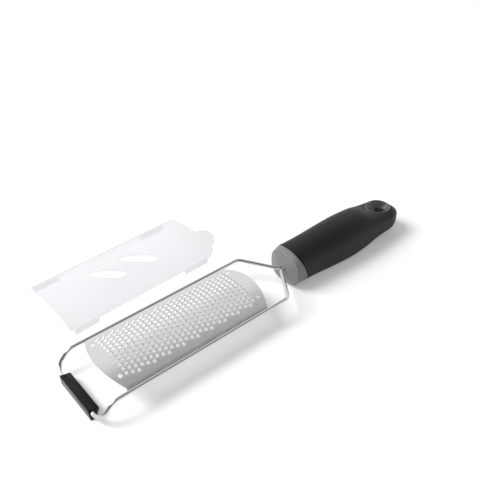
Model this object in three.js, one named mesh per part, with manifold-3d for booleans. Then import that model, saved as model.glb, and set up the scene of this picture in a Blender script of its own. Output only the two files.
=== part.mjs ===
// A hand grater with its blade cover lying beside it.
// One bent wire makes the rails, the front loop and the two tangs in the handle.
// An arched, perforated blade hangs between the rails, a rubber foot sits on the
// front loop's bar, and a soft grip is moulded over the handle's hard core.
// Millimetres: X runs from the foot to the handle's end, Y across to the cover, Z up.
// The origin is the centre of the foot's flat base, on the table.
import * as THREE from "three";
import { mergeVertices } from "three/addons/utils/BufferGeometryUtils.js";
import Module from "manifold-3d";

// Gap left between two pieces that touch on the real grater
const FIT = 0.3;

// Frame wire
const WIRE_D = 2.8;
const RAIL_SPACING = 56;
const RAIL_Z = 16.6;
const BAR_Z = 5.8;
const LOOP_RUN = 10.8;
const DIAGONAL_RUN = 17.1;
const TANG_GAP = 1;
const TANG_SHOWN = 1.4;
const TANG_Z = 15.9;
const TANG_DEPTH = 42;
const LOOP_CORNER_R = 8;
const RAIL_BEND_R = 6;
const LOOP_BEND_R = 11;
const ROOT_BEND_R = 3;

// Blade
const SHEET_T = 0.6;
const BLADE_SETBACK = 11.5;
const BLADE_EDGE_LENGTH = 114.4;
const BLADE_REAR_GAP = 18.7;
const BLADE_END_BULGE = 7;
const BLADE_RISE = 4.8;
const BLADE_LIFT = 1.8;
const FLANGE_DROP = 2.8;
const FLANGE_BEND_R = 1.2;

// Grating holes: staggered columns, each a third of a pitch lower than the last
const HOLE_SIZE = 2.5;
const HOLE_PITCH_X = 3.84;
const HOLE_PITCH_Y = 3.7;
const HOLE_STAGGER_COLUMNS = 3;
const HOLE_END_MARGIN = 3.9;
const HOLE_SIDE_MARGIN = 5;
const CORNER_HOLE_D = 3;
const CORNER_HOLE_END_INSET = 0.7;
const CORNER_HOLE_SIDE_INSET = 9.4;

// Rubber foot
const FOOT_BASE_WIDTH = 4.7;
const FOOT_FRONT_WALL = 0.65;
const FOOT_REAR_WALL = 3.8;
const FOOT_TOP_WALL = 0.5;
const FOOT_TOP_TILT = THREE.MathUtils.degToRad(17);
const FOOT_END_GAP = 0.5;
const FOOT_END_LEAN = THREE.MathUtils.degToRad(7);
const FOOT_ROUNDING = 0.5;

// Handle: half width, top, underside and squareness at stations behind the collar's face
const COLLAR_LENGTH = 8.4;
const COLLAR_DOME = 1.6;
const COLLAR_RIM_R = 1.2;
const COLLAR_REAR_TILT = THREE.MathUtils.degToRad(11);
const STATION_FACE = { back: 0, half: 15.3, top: 32.0, base: 1.4, square: 2.2 };
const STATION_WAIST = { back: 22, half: 15.2, top: 31.8, base: 0.9, square: 2.2 };
const STATION_BELLY = { back: 61, half: 16.6, top: 32.6, base: 0, square: 2.2 };
const STATION_SHOULDER = { back: 80, half: 16.1, top: 31.2, base: 0.6, square: 2.3 };
const STATION_SLOPE = { back: 93, half: 15.3, top: 27.0, base: 2.6, square: 2.9 };
const STATION_HANG = { back: 107, half: 14.4, top: 24.1, base: 4.1, square: 3.5 };
const TAIL_LENGTH = 17.2;
const TAIL_BLUNTNESS = 0.8;
const GRIP_WALL = 4.2;

// Hanging eyelet in the handle's tail: an oval dish that leans with the sloped top,
// with an upright round hole set towards the tail
const EYELET_BACK = 106.6;
const EYELET_LEAN = THREE.MathUtils.degToRad(12);
const EYELET_RIM_LENGTH = 28.2;
const EYELET_RIM_WIDTH = 17.8;
const EYELET_HOLE_D = 9.6;
const EYELET_HOLE_SHIFT = 3.6;
const EYELET_WALL = 1.3;
const EYELET_DISH_DEPTH = 5.2;
const EYELET_BOWL = 1.15;
const EYELET_RIM_SINK = 0.8;
const EYELET_FOOT_INSET = 0.8;
const EYELET_CORE_GAP = 9;

// Blade cover: an arched sheet with four clips, lying on the table
const COVER_SHIFT = 10.2;
const COVER_GAP = 24.6;
const COVER_TURN = THREE.MathUtils.degToRad(2);
const COVER_END_PLAY = 2.7;
const COVER_T = 1.2;
const COVER_RISE = 4.6;
const COVER_CLIP_HEIGHT = 5.4;
const COVER_SIDE_PLAY = 0.25;
const COVER_CLIP_T = 1.1;
const COVER_LIP = 1.2;
const COVER_LIP_T = 1.0;
const COVER_FRONT_CLIP = { inset: 3, length: 20 };
const COVER_REAR_CLIP = { inset: 10, length: 23 };
const COVER_CORNER_R = 4;
const COVER_CUT_CORNER_R = 11;
const COVER_TAB_LENGTH = 9;
const COVER_TAB_WIDTH = 21;
const COVER_TAB_SHIFT = -12;
const COVER_TAB_R = 5.5;
const COVER_SLOT_LENGTH = 28.5;
const COVER_SLOT_WIDTH = 7.6;
const COVER_SLOT_SPACING = 28.7;
const COVER_SLOT_SHIFT = -1.6;
const COVER_SLOT_TURN = THREE.MathUtils.degToRad(-42);
const COVER_SLOT_SQUARENESS = 2.6;

// Facet counts
const WIRE_SIDES = 12;
const BEND_STEPS = 5;
const ARCH_STEPS = 8;
const FLANGE_STEPS = 3;
const ROUND_STEPS = 4;
const END_ARC_STEPS = 20;
const HANDLE_SIDES = 24;
const HANDLE_RINGS = 14;
const TAIL_RINGS = 6;
const EYELET_SIDES = 24;
const DISH_STEPS = 5;
const SLOT_SIDES = 24;
const CORNER_HOLE_SIDES = 10;

// Sizes that follow from the ones above
const HALF_SPACING = RAIL_SPACING / 2;
const WIRE_R = WIRE_D / 2;
const WIRE_BORE_R = WIRE_R + FIT;
const TANG_SPACING = WIRE_D + TANG_GAP;
const BLADE_START_X = LOOP_RUN + BLADE_SETBACK;
const BLADE_END_X = BLADE_START_X + BLADE_EDGE_LENGTH;
const BLADE_MID_X = (BLADE_START_X + BLADE_END_X) / 2;
const REAR_BEND_X = BLADE_END_X + BLADE_REAR_GAP;
const ROOT_X = REAR_BEND_X + DIAGONAL_RUN;
const ROOT_TURN = Math.atan2(HALF_SPACING - TANG_SPACING / 2, DIAGONAL_RUN);
const COLLAR_TIP_X = ROOT_X + ROOT_BEND_R * Math.tan(ROOT_TURN / 2) + TANG_SHOWN;
const COLLAR_FACE_X = COLLAR_TIP_X + COLLAR_DOME;
const COLLAR_REAR_X = COLLAR_FACE_X + COLLAR_LENGTH;
const GRIP_FRONT_X = COLLAR_REAR_X + FIT;
const HANG_X = COLLAR_FACE_X + STATION_HANG.back;
const EYELET_X = COLLAR_FACE_X + EYELET_BACK;
const CORE_END_X = EYELET_X - EYELET_RIM_LENGTH / 2 - EYELET_CORE_GAP;
const FLANGE_OUT = HALF_SPACING - WIRE_R - FIT;
const BLADE_EDGE_Z = RAIL_Z + BLADE_LIFT;
const BLADE_TOP_Z = BLADE_EDGE_Z + BLADE_RISE;
const FOOT_BASE_LENGTH = RAIL_SPACING - 2 * LOOP_CORNER_R - 2 * FOOT_END_GAP;
const COVER_INNER = RAIL_SPACING + WIRE_D + 2 * COVER_SIDE_PLAY;
const COVER_WIDTH = COVER_INNER + 2 * COVER_CLIP_T;
const COVER_LENGTH = BLADE_EDGE_LENGTH + 2 * BLADE_END_BULGE + 2 * COVER_END_PLAY;
const COVER_X = BLADE_MID_X + COVER_SHIFT;
const COVER_Y = HALF_SPACING + WIRE_R + COVER_GAP + COVER_WIDTH / 2;

const wasm = await Module();
wasm.setup();

// Turns a closed geometry into a solid that can be joined and cut.
function toSolid(geometry) {
  const bare = geometry.clone();
  bare.deleteAttribute("normal");
  bare.deleteAttribute("uv");
  const merged = mergeVertices(bare, 1e-4);
  return new wasm.Manifold(new wasm.Mesh({
    numProp: 3,
    vertProperties: Float32Array.from(merged.attributes.position.array),
    triVerts: Uint32Array.from(merged.index.array),
  }));
}

// Turns a solid back into a geometry with flat-shaded normals.
function toGeometry(solid) {
  const mesh = solid.getMesh();
  const geometry = new THREE.BufferGeometry();
  geometry.setAttribute("position", new THREE.BufferAttribute(mesh.vertProperties, mesh.numProp));
  geometry.setIndex(new THREE.BufferAttribute(mesh.triVerts, 1));
  geometry.computeVertexNormals();
  return geometry;
}

// Cuts every tool solid out of the body.
function cut(body, ...tools) {
  return tools.reduce((rest, tool) => rest.subtract(tool), body);
}

// A path that an extrusion follows point by point.
class PointPath extends THREE.Curve {
  constructor(points) {
    super();
    this.points = points;
  }

  getPoint(t, target = new THREE.Vector3()) {
    const last = this.points.length - 1;
    const at = THREE.MathUtils.clamp(t, 0, 1) * last;
    const i = Math.min(Math.floor(at), last - 1);
    return target.lerpVectors(this.points[i], this.points[i + 1], at - i);
  }

  getUtoTmapping(u) {
    return u;
  }
}

// A regular polygon outline, flat side down.
function disc(radius, sides) {
  const step = (2 * Math.PI) / sides;
  const points = Array.from({ length: sides }, (_, i) => {
    const a = (i + 0.5) * step;
    return new THREE.Vector2(radius * Math.cos(a), radius * Math.sin(a));
  });
  return new THREE.Shape(points);
}

// A closed superellipse outline; squareness 2 is a plain ellipse.
function superellipse(halfX, halfY, squareness, sides) {
  const power = 2 / squareness;
  return Array.from({ length: sides }, (_, i) => {
    const a = ((i + 0.5) / sides) * 2 * Math.PI;
    const c = Math.cos(a);
    const s = Math.sin(a);
    return new THREE.Vector2(
      halfX * Math.sign(c) * Math.abs(c) ** power,
      halfY * Math.sign(s) * Math.abs(s) ** power,
    );
  });
}

// Replaces each corner of a polyline by an arc of the corner's own radius.
function roundedRoute(corners, steps) {
  const points = [corners[0].at];
  for (let i = 1; i < corners.length - 1; i += 1) {
    const { at, radius } = corners[i];
    const back = corners[i - 1].at.clone().sub(at).normalize();
    const on = corners[i + 1].at.clone().sub(at).normalize();
    const half = back.angleTo(on) / 2;
    const reach = radius / Math.tan(half);
    const centre = back.clone().add(on).normalize().multiplyScalar(radius / Math.sin(half)).add(at);
    const from = back.clone().multiplyScalar(reach).add(at).sub(centre);
    const to = on.clone().multiplyScalar(reach).add(at).sub(centre);
    const sweep = from.angleTo(to);
    for (let k = 0; k <= steps; k += 1) {
      const a = (k / steps) * sweep;
      const arm = from.clone().multiplyScalar(Math.sin(sweep - a));
      arm.addScaledVector(to, Math.sin(a)).divideScalar(Math.sin(sweep));
      points.push(arm.add(centre));
    }
  }
  points.push(corners[corners.length - 1].at);
  return points;
}

// A closed skin over rings of equal point counts, capped at both ends.
function loft(rings) {
  const sides = rings[0].length;
  const position = rings.flat().flatMap((p) => [p.x, p.y, p.z]);
  const index = [];
  for (let r = 0; r < rings.length - 1; r += 1) {
    for (let i = 0; i < sides; i += 1) {
      const a = r * sides + i;
      const b = r * sides + ((i + 1) % sides);
      index.push(a, b, b + sides, a, b + sides, a + sides);
    }
  }
  const last = (rings.length - 1) * sides;
  for (let i = 1; i < sides - 1; i += 1) {
    index.push(0, i + 1, i);
    index.push(last, last + i, last + i + 1);
  }
  const geometry = new THREE.BufferGeometry();
  geometry.setAttribute("position", new THREE.Float32BufferAttribute(position, 3));
  geometry.setIndex(index);
  return geometry;
}

// Extrudes an outline drawn in Y and Z along X, from one X to another.
function extrudeAlongX(outline, fromX, toX) {
  const geometry = new THREE.ExtrudeGeometry(new THREE.Shape(outline), {
    depth: toX - fromX,
    bevelEnabled: false,
  });
  const axes = new THREE.Matrix4().makeBasis(
    new THREE.Vector3(0, 1, 0),
    new THREE.Vector3(0, 0, 1),
    new THREE.Vector3(1, 0, 0),
  );
  return geometry.applyMatrix4(axes).translate(fromX, 0, 0);
}

// Extrudes an outline drawn in X and Y straight up, from one Z to another.
function extrudeUp(outline, fromZ, toZ) {
  const shape = outline instanceof THREE.Shape ? outline : new THREE.Shape(outline);
  const geometry = new THREE.ExtrudeGeometry(shape, {
    depth: toZ - fromZ,
    bevelEnabled: false,
    curveSegments: ROUND_STEPS,
  });
  return geometry.translate(0, 0, fromZ);
}

// A box between two corners.
function box(min, max) {
  const size = max.clone().sub(min);
  const middle = min.clone().add(max).divideScalar(2);
  return new THREE.BoxGeometry(size.x, size.y, size.z).translate(middle.x, middle.y, middle.z);
}

// Points of a shallow arch of the given half chord and rise, from +Y to -Y.
function arch(halfChord, edgeZ, rise, steps) {
  const radius = (halfChord ** 2 + rise ** 2) / (2 * rise);
  const half = Math.asin(halfChord / radius);
  const centreZ = edgeZ + rise - radius;
  return Array.from({ length: steps + 1 }, (_, i) => {
    const a = half * (1 - (2 * i) / steps);
    return new THREE.Vector2(radius * Math.sin(a), centreZ + radius * Math.cos(a));
  });
}

// One continuous wire: tang, rail, front loop, rail and tang.
function buildFrameWire() {
  const halfTang = TANG_SPACING / 2;
  const tangEnd = COLLAR_REAR_X + TANG_DEPTH;
  const side = (y) => [
    { at: new THREE.Vector3(tangEnd, y * halfTang, TANG_Z) },
    { at: new THREE.Vector3(ROOT_X, y * halfTang, TANG_Z), radius: ROOT_BEND_R },
    { at: new THREE.Vector3(REAR_BEND_X, y * HALF_SPACING, RAIL_Z), radius: RAIL_BEND_R },
    { at: new THREE.Vector3(LOOP_RUN, y * HALF_SPACING, RAIL_Z), radius: LOOP_BEND_R },
    { at: new THREE.Vector3(0, y * HALF_SPACING, BAR_Z), radius: LOOP_CORNER_R },
  ];
  const route = roundedRoute([...side(1), ...side(-1).reverse()], BEND_STEPS);
  return new THREE.ExtrudeGeometry(disc(WIRE_R, WIRE_SIDES), {
    steps: route.length - 1,
    extrudePath: new PointPath(route),
    bevelEnabled: false,
  });
}

// The blade's section: an arch with its long edges turned down inside the rails.
function bladeSection() {
  const outer = [];
  const inner = [];
  const innerR = Math.max(FLANGE_BEND_R - SHEET_T, SHEET_T / 4);
  const bendY = FLANGE_OUT - FLANGE_BEND_R;
  const bendZ = BLADE_EDGE_Z - FLANGE_BEND_R;
  const foot = BLADE_EDGE_Z - FLANGE_DROP;
  outer.push(new THREE.Vector2(FLANGE_OUT, foot));
  inner.push(new THREE.Vector2(FLANGE_OUT - SHEET_T, foot));
  const crown = arch(bendY, BLADE_EDGE_Z, BLADE_RISE, ARCH_STEPS);
  const slope = Math.asin((2 * bendY * BLADE_RISE) / (bendY ** 2 + BLADE_RISE ** 2));
  for (let k = 0; k < FLANGE_STEPS; k += 1) {
    const a = (k / FLANGE_STEPS) * (Math.PI / 2 - slope);
    outer.push(new THREE.Vector2(bendY + FLANGE_BEND_R * Math.cos(a), bendZ + FLANGE_BEND_R * Math.sin(a)));
    inner.push(new THREE.Vector2(bendY + innerR * Math.cos(a), bendZ + innerR * Math.sin(a)));
  }
  outer.push(...crown);
  inner.push(...crown.map((p) => new THREE.Vector2(p.x, p.y - SHEET_T)));
  const mirror = (list) => list
    .slice(0, FLANGE_STEPS + 1)
    .map((p) => new THREE.Vector2(-p.x, p.y))
    .reverse();
  return [...outer, ...mirror(outer), ...[...inner, ...mirror(inner)].reverse()];
}

// The blade's plan: straight long edges and ends that bow outwards.
function bladePlan() {
  const half = HALF_SPACING;
  const radius = (FLANGE_OUT ** 2 + BLADE_END_BULGE ** 2) / (2 * BLADE_END_BULGE);
  const sweep = Math.asin(half / radius);
  const end = (middle, out) => Array.from({ length: END_ARC_STEPS + 1 }, (_, i) => {
    const a = sweep * (1 - (2 * i) / END_ARC_STEPS);
    const x = middle + out * (radius * Math.cos(a) - radius);
    return new THREE.Vector2(x, out * radius * Math.sin(-a));
  });
  return [
    ...end(BLADE_END_X + BLADE_END_BULGE, 1),
    ...end(BLADE_START_X - BLADE_END_BULGE, -1),
  ];
}

// How many copies of a size fit in a length at a pitch.
function countFitting(length, size, pitch) {
  return Math.floor((length - size) / pitch) + 1;
}

// Where each grating hole stands, column by column.
function holeCentres() {
  const stagger = HOLE_PITCH_Y / HOLE_STAGGER_COLUMNS;
  const midStep = (HOLE_STAGGER_COLUMNS - 1) / 2;
  const fieldX = BLADE_EDGE_LENGTH - 2 * HOLE_END_MARGIN;
  const fieldY = 2 * (FLANGE_OUT - HOLE_SIDE_MARGIN - midStep * stagger);
  const columns = countFitting(fieldX, HOLE_SIZE, HOLE_PITCH_X);
  const rows = countFitting(fieldY, HOLE_SIZE, HOLE_PITCH_Y);
  const startX = BLADE_MID_X - ((columns - 1) * HOLE_PITCH_X) / 2;
  const startY = ((rows - 1) * HOLE_PITCH_Y) / 2;
  const centres = [];
  for (let column = 0; column < columns; column += 1) {
    const shift = (midStep - (column % HOLE_STAGGER_COLUMNS)) * stagger;
    for (let row = 0; row < rows; row += 1) {
      centres.push(new THREE.Vector2(
        startX + column * HOLE_PITCH_X,
        startY + shift - row * HOLE_PITCH_Y,
      ));
    }
  }
  return centres;
}

// The arched blade with its grating holes and four corner holes.
function buildBlade() {
  const low = BLADE_EDGE_Z - FLANGE_DROP - SHEET_T;
  const high = BLADE_TOP_Z + SHEET_T;
  const blank = toSolid(extrudeAlongX(
    bladeSection(),
    BLADE_START_X - 2 * BLADE_END_BULGE,
    BLADE_END_X + 2 * BLADE_END_BULGE,
  ));
  const trimmed = blank.intersect(toSolid(extrudeUp(bladePlan(), low, high)));
  const half = HOLE_SIZE / 2;
  const punches = holeCentres().map((c) => toSolid(box(
    new THREE.Vector3(c.x - half, c.y - half, low),
    new THREE.Vector3(c.x + half, c.y + half, high),
  )));
  const rivet = extrudeUp(disc(CORNER_HOLE_D / 2, CORNER_HOLE_SIDES), low, high);
  for (const sx of [-1, 1]) {
    for (const sy of [-1, 1]) {
      punches.push(toSolid(rivet.clone().translate(
        BLADE_MID_X + sx * (BLADE_EDGE_LENGTH / 2 - CORNER_HOLE_END_INSET),
        sy * (FLANGE_OUT - CORNER_HOLE_SIDE_INSET),
        0,
      )));
    }
  }
  return toGeometry(trimmed.subtract(wasm.Manifold.union(punches)));
}

// A rubber sleeve on the front bar, with a flat base and ends that lean in.
function buildFoot() {
  const front = -(WIRE_BORE_R + FOOT_FRONT_WALL);
  const rear = WIRE_BORE_R + FOOT_REAR_WALL;
  const topAt = (x) => {
    const over = WIRE_BORE_R + FOOT_TOP_WALL - x * Math.sin(FOOT_TOP_TILT);
    return BAR_Z + over / Math.cos(FOOT_TOP_TILT);
  };
  const corners = [
    new THREE.Vector3(FOOT_BASE_WIDTH / 2, 0, 0),
    new THREE.Vector3(rear, topAt(rear), 0),
    new THREE.Vector3(front, topAt(front), 0),
    new THREE.Vector3(-FOOT_BASE_WIDTH / 2, 0, 0),
  ];
  const outline = roundedRoute(corners.map((at) => ({ at, radius: FOOT_ROUNDING })), ROUND_STEPS);
  const ring = (end) => outline.map((p) => new THREE.Vector3(
    p.x,
    end * (FOOT_BASE_LENGTH / 2 - p.y * Math.tan(FOOT_END_LEAN)),
    p.y,
  ));
  const sleeve = toSolid(loft([ring(1), ring(-1)]));
  const bore = new THREE.CylinderGeometry(WIRE_BORE_R, WIRE_BORE_R, FOOT_BASE_LENGTH * 2, WIRE_SIDES);
  return toGeometry(cut(sleeve, toSolid(bore.translate(0, 0, BAR_Z))));
}

// The handle's section at any X before its round tail.
const handleAt = (() => {
  const stations = [
    STATION_FACE,
    STATION_WAIST,
    STATION_BELLY,
    STATION_SHOULDER,
    STATION_SLOPE,
    STATION_HANG,
  ];
  const spline = new THREE.CubicInterpolant(
    stations.map((s) => s.back),
    stations.flatMap((s) => [s.half, s.top, s.base, s.square]),
    4,
  );
  return (x) => {
    const [half, top, base, square] = spline.evaluate(x - COLLAR_FACE_X);
    return { half, top, base, square };
  };
})();

// One ring of the handle's section, drawn in by an inset and scaled towards its middle.
function handleRing(x, { half, top, base, square }, inset = 0, scale = 1) {
  const middle = (top + base) / 2;
  const halfHeight = (top - base) / 2;
  const outline = superellipse((half - inset) * scale, (halfHeight - inset) * scale, square, HANDLE_SIDES);
  return outline.map((p) => new THREE.Vector3(x, p.x, middle + p.y));
}

// Tilts a ring about the handle's middle so that its top comes forward.
function tilted(ring) {
  const middle = ring.reduce((sum, p) => sum + p.z, 0) / ring.length;
  return ring.map((p) => {
    const forward = (p.z - middle) * Math.tan(COLLAR_REAR_TILT);
    return new THREE.Vector3(p.x - forward, p.y, p.z);
  });
}

// Evenly spaced rings between two places on the handle.
function handleRings(fromX, toX, count, inset) {
  return Array.from({ length: count + 1 }, (_, i) => {
    const x = fromX + ((toX - fromX) * i) / count;
    return handleRing(x, handleAt(x), inset);
  });
}

// A bore for each tang, long enough to pass through whatever it is cut from.
function tangBores(fromX, toX) {
  return [-1, 1].map((side) => {
    const bore = new THREE.CylinderGeometry(WIRE_BORE_R, WIRE_BORE_R, toX - fromX, WIRE_SIDES);
    bore.rotateZ(Math.PI / 2).translate((fromX + toX) / 2, (side * TANG_SPACING) / 2, TANG_Z);
    return toSolid(bore);
  });
}

// The collar: a short cap on the handle's front with a gently domed face.
function buildCollar() {
  const rings = [];
  const face = handleAt(COLLAR_FACE_X);
  for (let k = 1; k <= DISH_STEPS; k += 1) {
    const share = k / DISH_STEPS;
    const x = COLLAR_FACE_X - COLLAR_DOME * (1 - share ** 2);
    rings.push(handleRing(x, face, COLLAR_RIM_R, share));
  }
  for (let k = 1; k <= ROUND_STEPS; k += 1) {
    const a = (k / ROUND_STEPS) * (Math.PI / 2);
    const inset = COLLAR_RIM_R * (1 - Math.sin(a));
    rings.push(handleRing(COLLAR_FACE_X + COLLAR_RIM_R * (1 - Math.cos(a)), face, inset));
  }
  rings.push(tilted(handleRing(COLLAR_REAR_X, handleAt(COLLAR_REAR_X))));
  const bores = tangBores(COLLAR_TIP_X - COLLAR_DOME, COLLAR_REAR_X + COLLAR_LENGTH);
  return toGeometry(cut(toSolid(loft(rings)), ...bores));
}

// The hard core that the tangs are moulded into, as long as its tail allows.
function buildCore() {
  const inset = GRIP_WALL + FIT;
  const rings = handleRings(GRIP_FRONT_X, CORE_END_X, HANDLE_RINGS / 2, inset);
  rings[0] = tilted(rings[0]);
  const rod = toSolid(loft(rings));
  const boreEnd = COLLAR_REAR_X + TANG_DEPTH + FIT;
  return toGeometry(cut(rod, ...tangBores(COLLAR_FACE_X, boreEnd)));
}

// One ring of the eyelet, level and round in its hole, leaning and oval at its rim.
function eyeletRing(halfLength, halfWidth, x, z, lean) {
  return Array.from({ length: EYELET_SIDES }, (_, i) => {
    const a = (i / EYELET_SIDES) * 2 * Math.PI;
    const along = halfLength * Math.cos(a);
    const down = along * Math.sin(lean);
    return new THREE.Vector3(x + along * Math.cos(lean), halfWidth * Math.sin(a), z - down);
  });
}

// The eyelet's inner skin, or a larger one round it: a hole, a dish and a stretch above the rim.
function eyeletSkin(grow, footZ, above) {
  const rimZ = handleAt(EYELET_X).top - EYELET_RIM_SINK;
  const hole = EYELET_HOLE_D / 2 + grow;
  const rimLength = EYELET_RIM_LENGTH / 2 - EYELET_WALL + grow;
  const rimWidth = EYELET_RIM_WIDTH / 2 - EYELET_WALL + grow;
  const rings = [eyeletRing(hole, hole, EYELET_X + EYELET_HOLE_SHIFT, footZ, 0)];
  for (let k = 0; k <= DISH_STEPS; k += 1) {
    const share = k / DISH_STEPS;
    rings.push(eyeletRing(
      hole + (rimLength - hole) * share,
      hole + (rimWidth - hole) * share,
      EYELET_X + EYELET_HOLE_SHIFT * (1 - share),
      rimZ - EYELET_DISH_DEPTH * (1 - share ** EYELET_BOWL),
      EYELET_LEAN * share,
    ));
  }
  if (above > 0) {
    const x = EYELET_X + above * Math.sin(EYELET_LEAN);
    const z = rimZ + above * Math.cos(EYELET_LEAN);
    rings.push(eyeletRing(rimLength, rimWidth, x, z, EYELET_LEAN));
  }
  return toSolid(loft(rings));
}

// A glossy dished eyelet, open from top to bottom.
function buildEyelet() {
  const { base } = handleAt(EYELET_X);
  const shell = eyeletSkin(EYELET_WALL, base + EYELET_FOOT_INSET, 0);
  return toGeometry(cut(shell, eyeletSkin(0, base - EYELET_DISH_DEPTH, EYELET_DISH_DEPTH)));
}

// The soft grip: a skin over the core, with the eyelet's seat cut through its tail.
function buildGrip() {
  const rings = handleRings(GRIP_FRONT_X, HANG_X, HANDLE_RINGS);
  rings[0] = tilted(rings[0]);
  for (let k = 1; k < TAIL_RINGS; k += 1) {
    const a = (k / TAIL_RINGS) * (Math.PI / 2);
    const x = HANG_X + TAIL_LENGTH * Math.sin(a);
    rings.push(handleRing(x, STATION_HANG, 0, Math.cos(a) ** TAIL_BLUNTNESS));
  }
  const cavity = handleRings(
    COLLAR_FACE_X,
    CORE_END_X + FIT,
    HANDLE_RINGS / 2,
    GRIP_WALL,
  );
  const { top, base } = handleAt(EYELET_X);
  const seat = eyeletSkin(EYELET_WALL + FIT, base - EYELET_DISH_DEPTH, top);
  return toGeometry(cut(toSolid(loft(rings)), toSolid(loft(cavity)), seat));
}

// The cover's plan: square far corners, one cut corner and a pull tab at its rear.
function coverPlan() {
  const front = -COVER_LENGTH / 2;
  const rear = COVER_LENGTH / 2;
  const side = COVER_WIDTH / 2;
  const tip = rear + COVER_TAB_LENGTH;
  const tabFar = COVER_TAB_SHIFT + COVER_TAB_WIDTH / 2;
  const tabNear = COVER_TAB_SHIFT - COVER_TAB_WIDTH / 2;
  const taper = COVER_TAB_LENGTH / 2;
  const corners = [
    { at: new THREE.Vector3(front, 0, 0) },
    { at: new THREE.Vector3(front, -side, 0), radius: COVER_CORNER_R },
    { at: new THREE.Vector3(rear, -side, 0), radius: COVER_CUT_CORNER_R },
    { at: new THREE.Vector3(rear, tabNear, 0), radius: COVER_TAB_R / 4 },
    { at: new THREE.Vector3(tip, tabNear + taper, 0), radius: COVER_TAB_R },
    { at: new THREE.Vector3(tip, tabFar - taper, 0), radius: COVER_TAB_R },
    { at: new THREE.Vector3(rear, tabFar, 0), radius: COVER_TAB_R / 4 },
    { at: new THREE.Vector3(rear, side, 0), radius: COVER_CORNER_R },
    { at: new THREE.Vector3(front, side, 0), radius: COVER_CORNER_R },
    { at: new THREE.Vector3(front, 0, 0) },
  ];
  return roundedRoute(corners, ROUND_STEPS)
    .slice(1)
    .map((p) => new THREE.Vector2(p.x, p.y));
}

// The cover's section along the clips: arch, side walls and lips turned in below the rails.
function coverSection() {
  const side = COVER_WIDTH / 2;
  const wall = side - COVER_CLIP_T;
  const lip = wall - COVER_LIP;
  const crown = arch(side, COVER_CLIP_HEIGHT, COVER_RISE, ARCH_STEPS);
  const under = crown
    .map((p) => new THREE.Vector2((p.x * wall) / side, p.y - COVER_T))
    .reverse();
  const foot = (y) => [
    new THREE.Vector2(y * wall, COVER_LIP_T),
    new THREE.Vector2(y * lip, COVER_LIP_T),
    new THREE.Vector2(y * lip, 0),
    new THREE.Vector2(y * side, 0),
  ];
  return [...crown, ...foot(-1).reverse(), ...under, ...foot(1)];
}

// The translucent blade cover, about its own middle on the table.
function buildCover() {
  const front = -COVER_LENGTH / 2;
  const high = COVER_CLIP_HEIGHT + COVER_RISE + COVER_T;
  const reach = COVER_LENGTH;
  const blank = toSolid(extrudeAlongX(coverSection(), -reach, reach));
  const trimmed = blank.intersect(toSolid(extrudeUp(coverPlan(), -COVER_T, high)));
  const clipTop = COVER_CLIP_HEIGHT - COVER_T;
  const gap = (fromX, toX) => toSolid(box(
    new THREE.Vector3(fromX, -reach, -COVER_T),
    new THREE.Vector3(toX, reach, clipTop),
  ));
  const frontClip = front + COVER_FRONT_CLIP.inset;
  const rearClip = -front - COVER_REAR_CLIP.inset;
  const gaps = [
    gap(-reach, frontClip),
    gap(frontClip + COVER_FRONT_CLIP.length, rearClip - COVER_REAR_CLIP.length),
    gap(rearClip, reach),
  ];
  const outline = superellipse(
    COVER_SLOT_LENGTH / 2,
    COVER_SLOT_WIDTH / 2,
    COVER_SLOT_SQUARENESS,
    SLOT_SIDES,
  );
  const slots = [-1, 1].map((side) => toSolid(
    extrudeUp(outline, -COVER_T, high)
      .rotateZ(COVER_SLOT_TURN)
      .translate(COVER_SLOT_SHIFT + (side * COVER_SLOT_SPACING) / 2, 0, 0),
  ));
  return toGeometry(cut(trimmed, ...gaps, ...slots));
}

// A named piece in its own material.
function piece(name, geometry, color, roughness, metalness, extra = {}) {
  const material = new THREE.MeshStandardMaterial({ color, roughness, metalness, ...extra });
  const mesh = new THREE.Mesh(geometry, material);
  mesh.name = name;
  return mesh;
}

const grater = new THREE.Group();
grater.name = "hand_grater";

const tool = new THREE.Group();
tool.add(
  piece("frame_wire", buildFrameWire(), 0xc9ccd0, 0.18, 1),
  piece("blade", buildBlade(), 0xbfc1c4, 0.32, 1),
  piece("foot", buildFoot(), 0x141414, 0.75, 0),
  piece("handle_collar", buildCollar(), 0x5d5f62, 0.55, 0),
  piece("handle_core", buildCore(), 0x2a2a2c, 0.5, 0),
  piece("handle_grip", buildGrip(), 0x161616, 0.7, 0),
  piece("hang_eyelet", buildEyelet(), 0x1c1c1e, 0.25, 0),
);

const cover = new THREE.Group();
cover.position.set(COVER_X, COVER_Y, 0);
cover.rotation.z = COVER_TURN;
cover.add(piece("blade_cover", buildCover(), 0xf0f0f3, 0.35, 0, { transparent: true, opacity: 0.6 }));

grater.add(tool, cover);

export default grater;
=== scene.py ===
"""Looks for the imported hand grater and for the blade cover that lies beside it.

Pieces are drawn in millimetres and scaled to metres when they are finished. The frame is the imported
model's: X from the foot to the handle's end, Y across to the cover, Z up from the table.
"""
import logging
import math
from collections.abc import Callable, Iterable, Sequence
from dataclasses import astuple, dataclass
from enum import Enum
from functools import reduce

import bmesh
import bpy
from bmesh.types import BMEdge, BMesh, BMFace, BMVert
from mathutils import Matrix, Vector


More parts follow.
